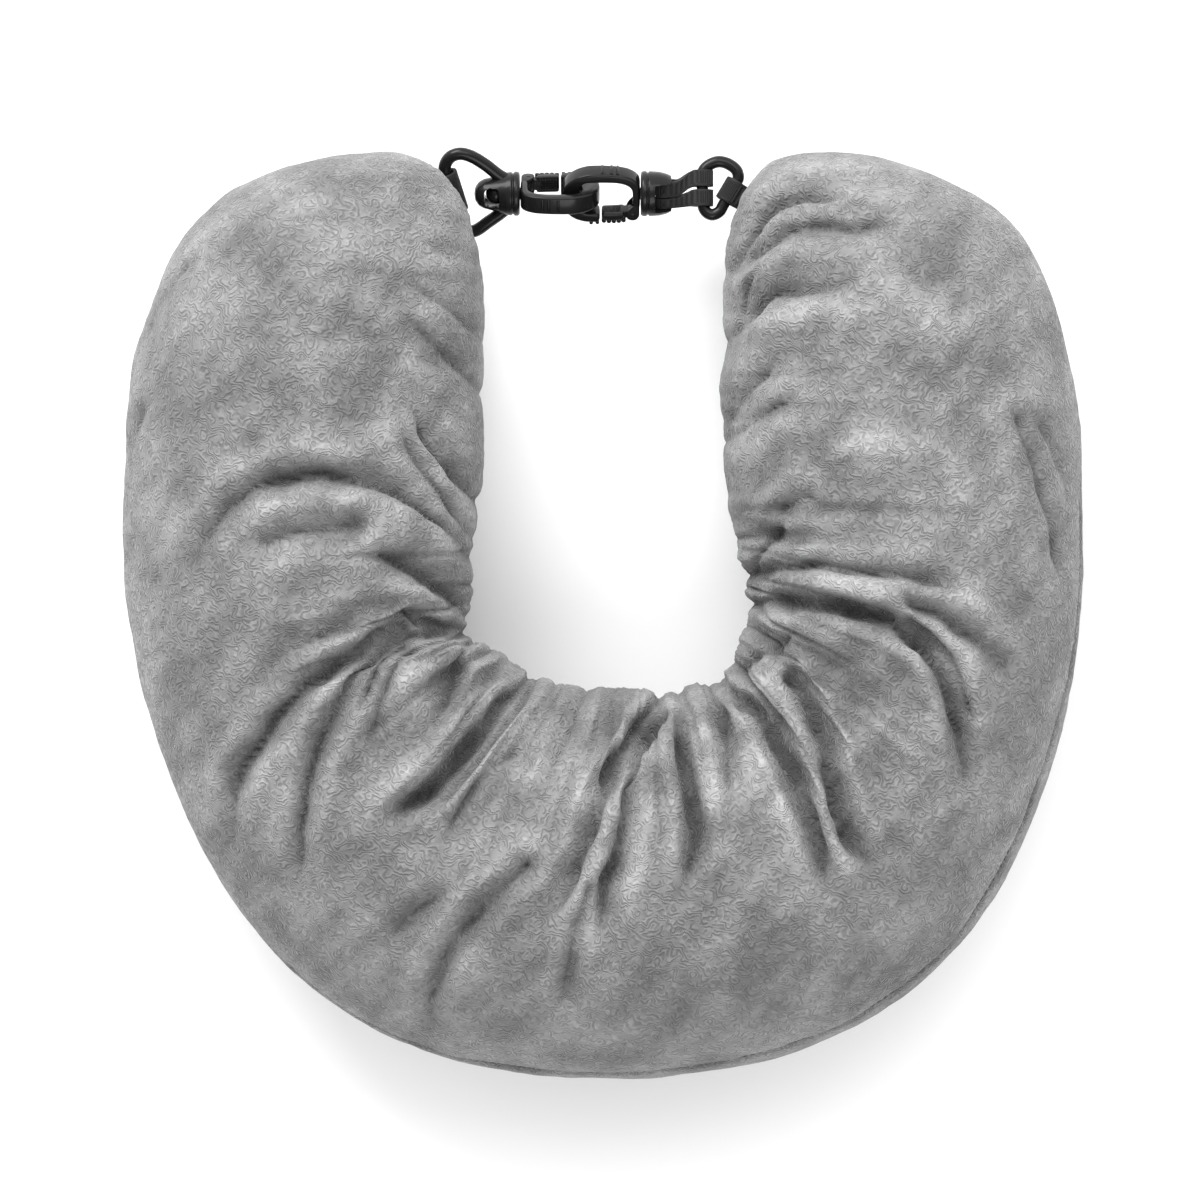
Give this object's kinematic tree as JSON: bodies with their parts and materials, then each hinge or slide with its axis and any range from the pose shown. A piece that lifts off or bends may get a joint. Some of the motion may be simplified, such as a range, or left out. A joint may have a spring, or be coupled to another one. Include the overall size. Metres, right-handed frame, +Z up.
{
  "type": "travel pillow",
  "caption": "Stuffed plush travel pillow in a U shape, its two arm ends joined by a chain of linked swivel snap hooks.",
  "frame": {"origin": "on the surface that the pillow lies on, under the middle of its box", "axes": "+X along the clip chain, +Y from the bend of the U towards the clip, +Z up out of the surface"},
  "size_m": [0.401, 0.3904, 0.132],
  "materials": {
    "plush": "short grey plush pile",
    "black_plastic": "satin black moulding",
    "webbing": "ribbed black webbing"
  },
  "bodies": {
    "root": {"pillow": "plush", "left_tab": "webbing", "left_base": "black_plastic", "right_base": "black_plastic", "right_strap": "webbing", "right_ring": "black_plastic", "right_tab": "webbing"},
    "left_hook": {"left_hook": "black_plastic"},
    "left_gate": {"left_gate": "black_plastic"},
    "right_hook": {"right_hook": "black_plastic"},
    "right_gate": {"right_gate": "black_plastic"}
  },
  "joints": [
    {"name": "left_swivel", "type": "hinge", "parent": "root", "child": "left_hook", "pos_m": [-0.0353, 0.1775, 0.044], "axis": [1, 0, 0], "continuous": true},
    {"name": "right_swivel", "type": "hinge", "parent": "root", "child": "right_hook", "pos_m": [0.0157, 0.1775, 0.044], "axis": [1, 0, 0], "continuous": true},
    {"name": "left_gate_hinge", "type": "hinge", "parent": "left_hook", "child": "left_gate", "pos_m": [-0.0318, 0.18206, 0.03671], "axis": [0, -0.848, -0.5299], "range_deg": [0, 25], "stiffness_Nm_per_rad": 0.004, "springref_deg": -17.19},
    {"name": "right_gate_hinge", "type": "hinge", "parent": "right_hook", "child": "right_gate", "pos_m": [0.0122, 0.17091, 0.03847], "axis": [0, 0.6428, -0.766], "range_deg": [0, 25], "stiffness_Nm_per_rad": 0.004, "springref_deg": -17.19}
  ],
  "couplings": [
    {"joint": "right_swivel", "follows": "left_swivel", "ratio": 1}
  ]
}
